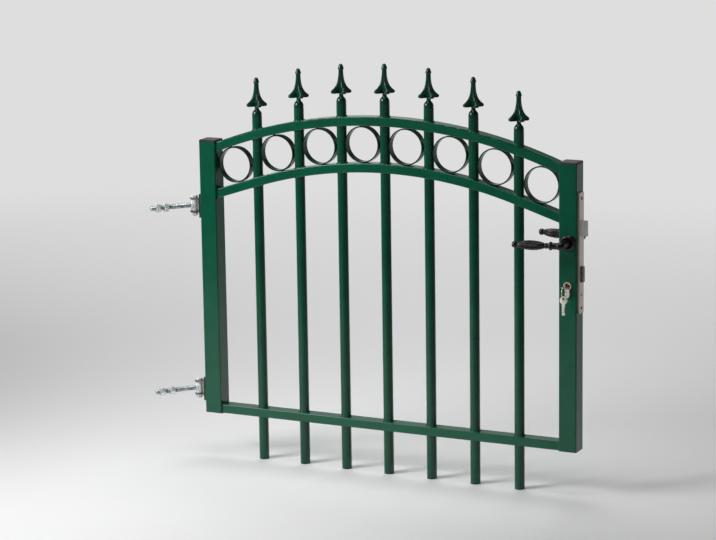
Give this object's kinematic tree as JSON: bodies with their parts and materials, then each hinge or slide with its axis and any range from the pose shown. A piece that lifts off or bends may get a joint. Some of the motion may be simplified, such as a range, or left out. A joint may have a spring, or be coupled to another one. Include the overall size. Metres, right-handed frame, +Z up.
{
  "type": "arched ornamental fence gate",
  "caption": "Arched garden gate leaf of painted steel tube with pickets, rings and spear finials, on eye-bolt hinges, with a lever-handled mortise lock and a keyed cylinder.",
  "frame": {"origin": "on the lower eye bolt's axis, in the face of the nut that seats against the hanging post", "axes": "+X along the leaf from the hinges to the lock, +Y through the leaf away from the key side, +Z up"},
  "size_m": [1.012, 0.1675, 0.911],
  "materials": {
    "green_paint": "gloss",
    "black_plastic": "satin",
    "dark_bracket": "satin",
    "zinc": "bright zinc",
    "forend_steel": "satin",
    "bolt_nickel": "satin",
    "cylinder_nickel": "nickel plated",
    "key_nickel": "nickel plated",
    "black_iron": "satin"
  },
  "bodies": {
    "post_bolts": {"upper_eye_bolt": "zinc", "lower_eye_bolt": "zinc", "post_nuts": "zinc"},
    "leaf": {"hinge_stile": "green_paint", "lock_stile": "green_paint", "bottom_rail": "green_paint", "lower_arch": "green_paint", "upper_arch": "green_paint", "picket_1": "green_paint", "picket_2": "green_paint", "picket_3": "green_paint", "picket_4": "green_paint", "picket_5": "green_paint", "picket_6": "green_paint", "picket_7": "green_paint", "finial_1": "green_paint", "finial_2": "green_paint", "finial_3": "green_paint", "finial_4": "green_paint", "finial_5": "green_paint", "finial_6": "green_paint", "finial_7": "green_paint", "ring_1": "green_paint", "ring_2": "green_paint", "ring_3": "green_paint", "ring_4": "green_paint", "ring_5": "green_paint", "ring_6": "green_paint", "ring_7": "green_paint", "ring_8": "green_paint", "stile_caps": "black_plastic", "picket_plugs": "black_plastic", "upper_hinge_pad": "dark_bracket", "lower_hinge_pad": "dark_bracket", "upper_hinge_bracket": "zinc", "lower_hinge_bracket": "zinc", "hinge_pins": "zinc", "lock_case": "forend_steel", "lock_cylinder": "cylinder_nickel", "rosettes": "black_iron"},
    "handle": {"front_lever": "black_iron", "back_lever": "black_iron", "spindle": "bolt_nickel"},
    "latch": {"latch_bolt": "bolt_nickel"},
    "key": {"cylinder_plug": "cylinder_nickel", "key": "key_nickel", "key_ring": "key_nickel", "spare_key": "key_nickel"},
    "dead": {"dead_bolt": "bolt_nickel"}
  },
  "joints": [
    {"name": "gate_swing", "type": "hinge", "parent": "post_bolts", "child": "leaf", "pos_m": [0.04531, 0.05595, 0], "axis": [0, 0, 1], "range_deg": [-39, 141]},
    {"name": "handle_turn", "type": "hinge", "parent": "leaf", "child": "handle", "pos_m": [0.95231, 0.05595, 0.4035], "axis": [0, -1, 0], "range_deg": [0, 45], "stiffness_Nm_per_rad": 1.5, "springref_deg": -57.3},
    {"name": "latch_slide", "type": "slide", "parent": "leaf", "child": "latch", "axis": [-1, 0, 0], "range_m": [0, 0.012]},
    {"name": "key_turn", "type": "hinge", "parent": "leaf", "child": "key", "pos_m": [0.95231, 0.05595, 0.3115], "axis": [0, 1, 0], "range_deg": [-90, 270]},
    {"name": "dead_bolt_slide", "type": "slide", "parent": "leaf", "child": "dead", "axis": [1, 0, 0], "range_m": [-0.005, 0.015]}
  ],
  "couplings": [
    {"joint": "latch_slide", "follows": "handle_turn", "m_per_rad": 0.015279},
    {"joint": "dead_bolt_slide", "follows": "key_turn", "m_per_rad": 0.0031831}
  ]
}
